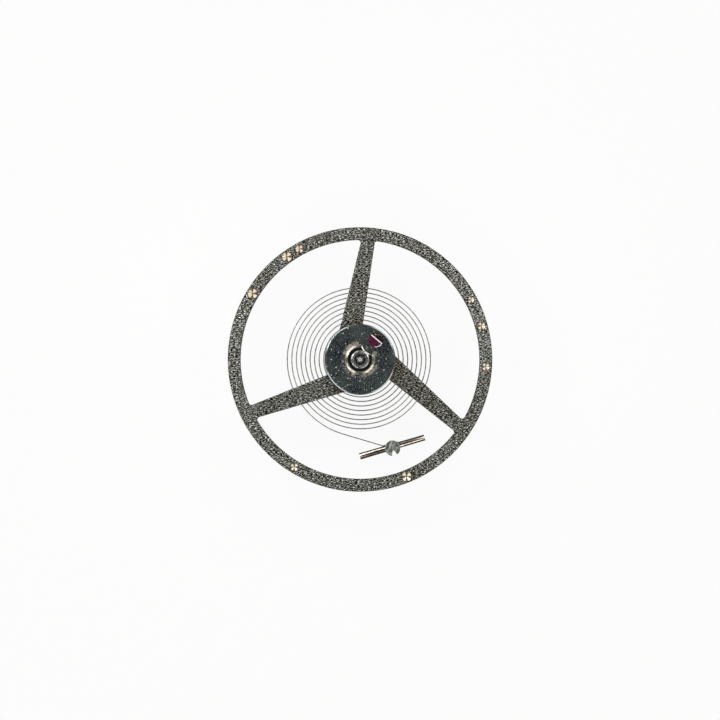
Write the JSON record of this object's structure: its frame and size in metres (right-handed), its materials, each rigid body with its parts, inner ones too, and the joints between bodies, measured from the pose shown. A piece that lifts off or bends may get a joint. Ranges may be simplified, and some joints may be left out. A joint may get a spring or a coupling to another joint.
{
  "type": "balance wheel",
  "caption": "Watch balance complete: smooth wheel with skewed arms on its staff, double roller with D-shaped jewel, flat hairspring, split collet and pinned stud.",
  "frame": {"origin": "on the staff's axis, halfway between the two pivot tips, in the middle plane of the rim", "axes": "+Z along the staff towards the roller side, +X and +Y in the plane of the wheel as seen from the roller side, with the stud towards -Y"},
  "size_m": [0.01, 0.01, 0.0032],
  "materials": {
    "wheel_frosted_nickel": "nickel-plated bronze, frosted dark grey",
    "staff_polished_steel": "hardened steel, turned and polished",
    "table_black_polished_steel": "steel, black polished, dark in straight view",
    "safety_roller_metal": "pale brass, polished",
    "synthetic_ruby": "synthetic ruby, polished, transparent purplish red",
    "shellac": "shellac, amber, glossy where it ran",
    "collet_brass": "brass, turned",
    "pin_brass": "brass wire, drawn and tapered",
    "hairspring_alloy": "nickel-iron spring alloy, rolled, satin",
    "stud_steel": "steel, turned, bright bevel"
  },
  "bodies": {
    "stud_assembly": {"stud": "stud_steel", "stud_pin": "pin_brass", "hairspring": "hairspring_alloy"},
    "collet_assembly": {"collet": "collet_brass", "collet_pin": "pin_brass"},
    "balance_assembly": {"balance_wheel": "wheel_frosted_nickel", "balance_staff": "staff_polished_steel", "impulse_roller": "table_black_polished_steel", "safety_roller": "safety_roller_metal", "impulse_jewel": "synthetic_ruby", "jewel_cement": "shellac"}
  },
  "joints": [
    {"name": "balance_swing", "type": "hinge", "parent": "stud_assembly", "child": "collet_assembly", "pos_m": [0, 0, 0], "axis": [0, 0, 1], "range_deg": [-300, 300], "stiffness_Nm_per_rad": 0.00000034, "deforming": ["hairspring"]},
    {"name": "beat_setting", "type": "hinge", "parent": "collet_assembly", "child": "balance_assembly", "pos_m": [0, 0, 0], "axis": [0, 0, 1], "continuous": true}
  ]
}
